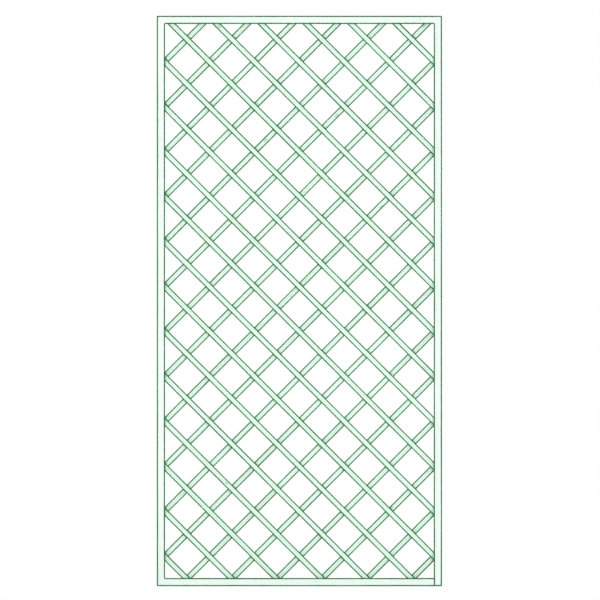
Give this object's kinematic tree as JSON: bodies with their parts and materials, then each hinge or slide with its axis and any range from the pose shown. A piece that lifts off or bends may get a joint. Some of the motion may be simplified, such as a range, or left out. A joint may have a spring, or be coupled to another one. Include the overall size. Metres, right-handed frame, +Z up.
{
  "type": "wooden plant trellis panel",
  "caption": "Flat framed wooden trellis panel: crossed layers of diagonal slats form square meshes that climbing plants are trained through.",
  "frame": {"origin": "middle of the panel's foot: on the ground plane, halfway across the panel and halfway through the frame's depth", "axes": "+Z up along the stiles, +X to the right seen from the front, -Y out of the front, where the front slats fall from left to right"},
  "size_m": [0.9, 0.04, 1.8],
  "materials": {
    "frame_timber": "matt mint paint brushed over green-stained softwood, the green showing along the edges",
    "slat_timber": "matt mint paint brushed over green-stained softwood, the green showing along the edges",
    "galvanised_wire": "dull galvanised wire",
    "plated_screw_steel": "satin zinc plating"
  },
  "bodies": {
    "root": {"left_stile": "frame_timber", "right_stile": "frame_timber", "top_rail": "frame_timber", "bottom_rail": "frame_timber", "front_slat_01": "slat_timber", "front_slat_02": "slat_timber", "front_slat_03": "slat_timber", "front_slat_04": "slat_timber", "front_slat_05": "slat_timber", "front_slat_06": "slat_timber", "front_slat_07": "slat_timber", "front_slat_08": "slat_timber", "front_slat_09": "slat_timber", "front_slat_10": "slat_timber", "front_slat_11": "slat_timber", "front_slat_12": "slat_timber", "front_slat_13": "slat_timber", "front_slat_14": "slat_timber", "front_slat_15": "slat_timber", "front_slat_16": "slat_timber", "front_slat_17": "slat_timber", "front_slat_18": "slat_timber", "rear_slat_01": "slat_timber", "rear_slat_02": "slat_timber", "rear_slat_03": "slat_timber", "rear_slat_04": "slat_timber", "rear_slat_05": "slat_timber", "rear_slat_06": "slat_timber", "rear_slat_07": "slat_timber", "rear_slat_08": "slat_timber", "rear_slat_09": "slat_timber", "rear_slat_10": "slat_timber", "rear_slat_11": "slat_timber", "rear_slat_12": "slat_timber", "rear_slat_13": "slat_timber", "rear_slat_14": "slat_timber", "rear_slat_15": "slat_timber", "rear_slat_16": "slat_timber", "rear_slat_17": "slat_timber", "rear_slat_18": "slat_timber", "crossing_staples": "galvanised_wire", "corner_screws": "plated_screw_steel"}
  },
  "joints": []
}
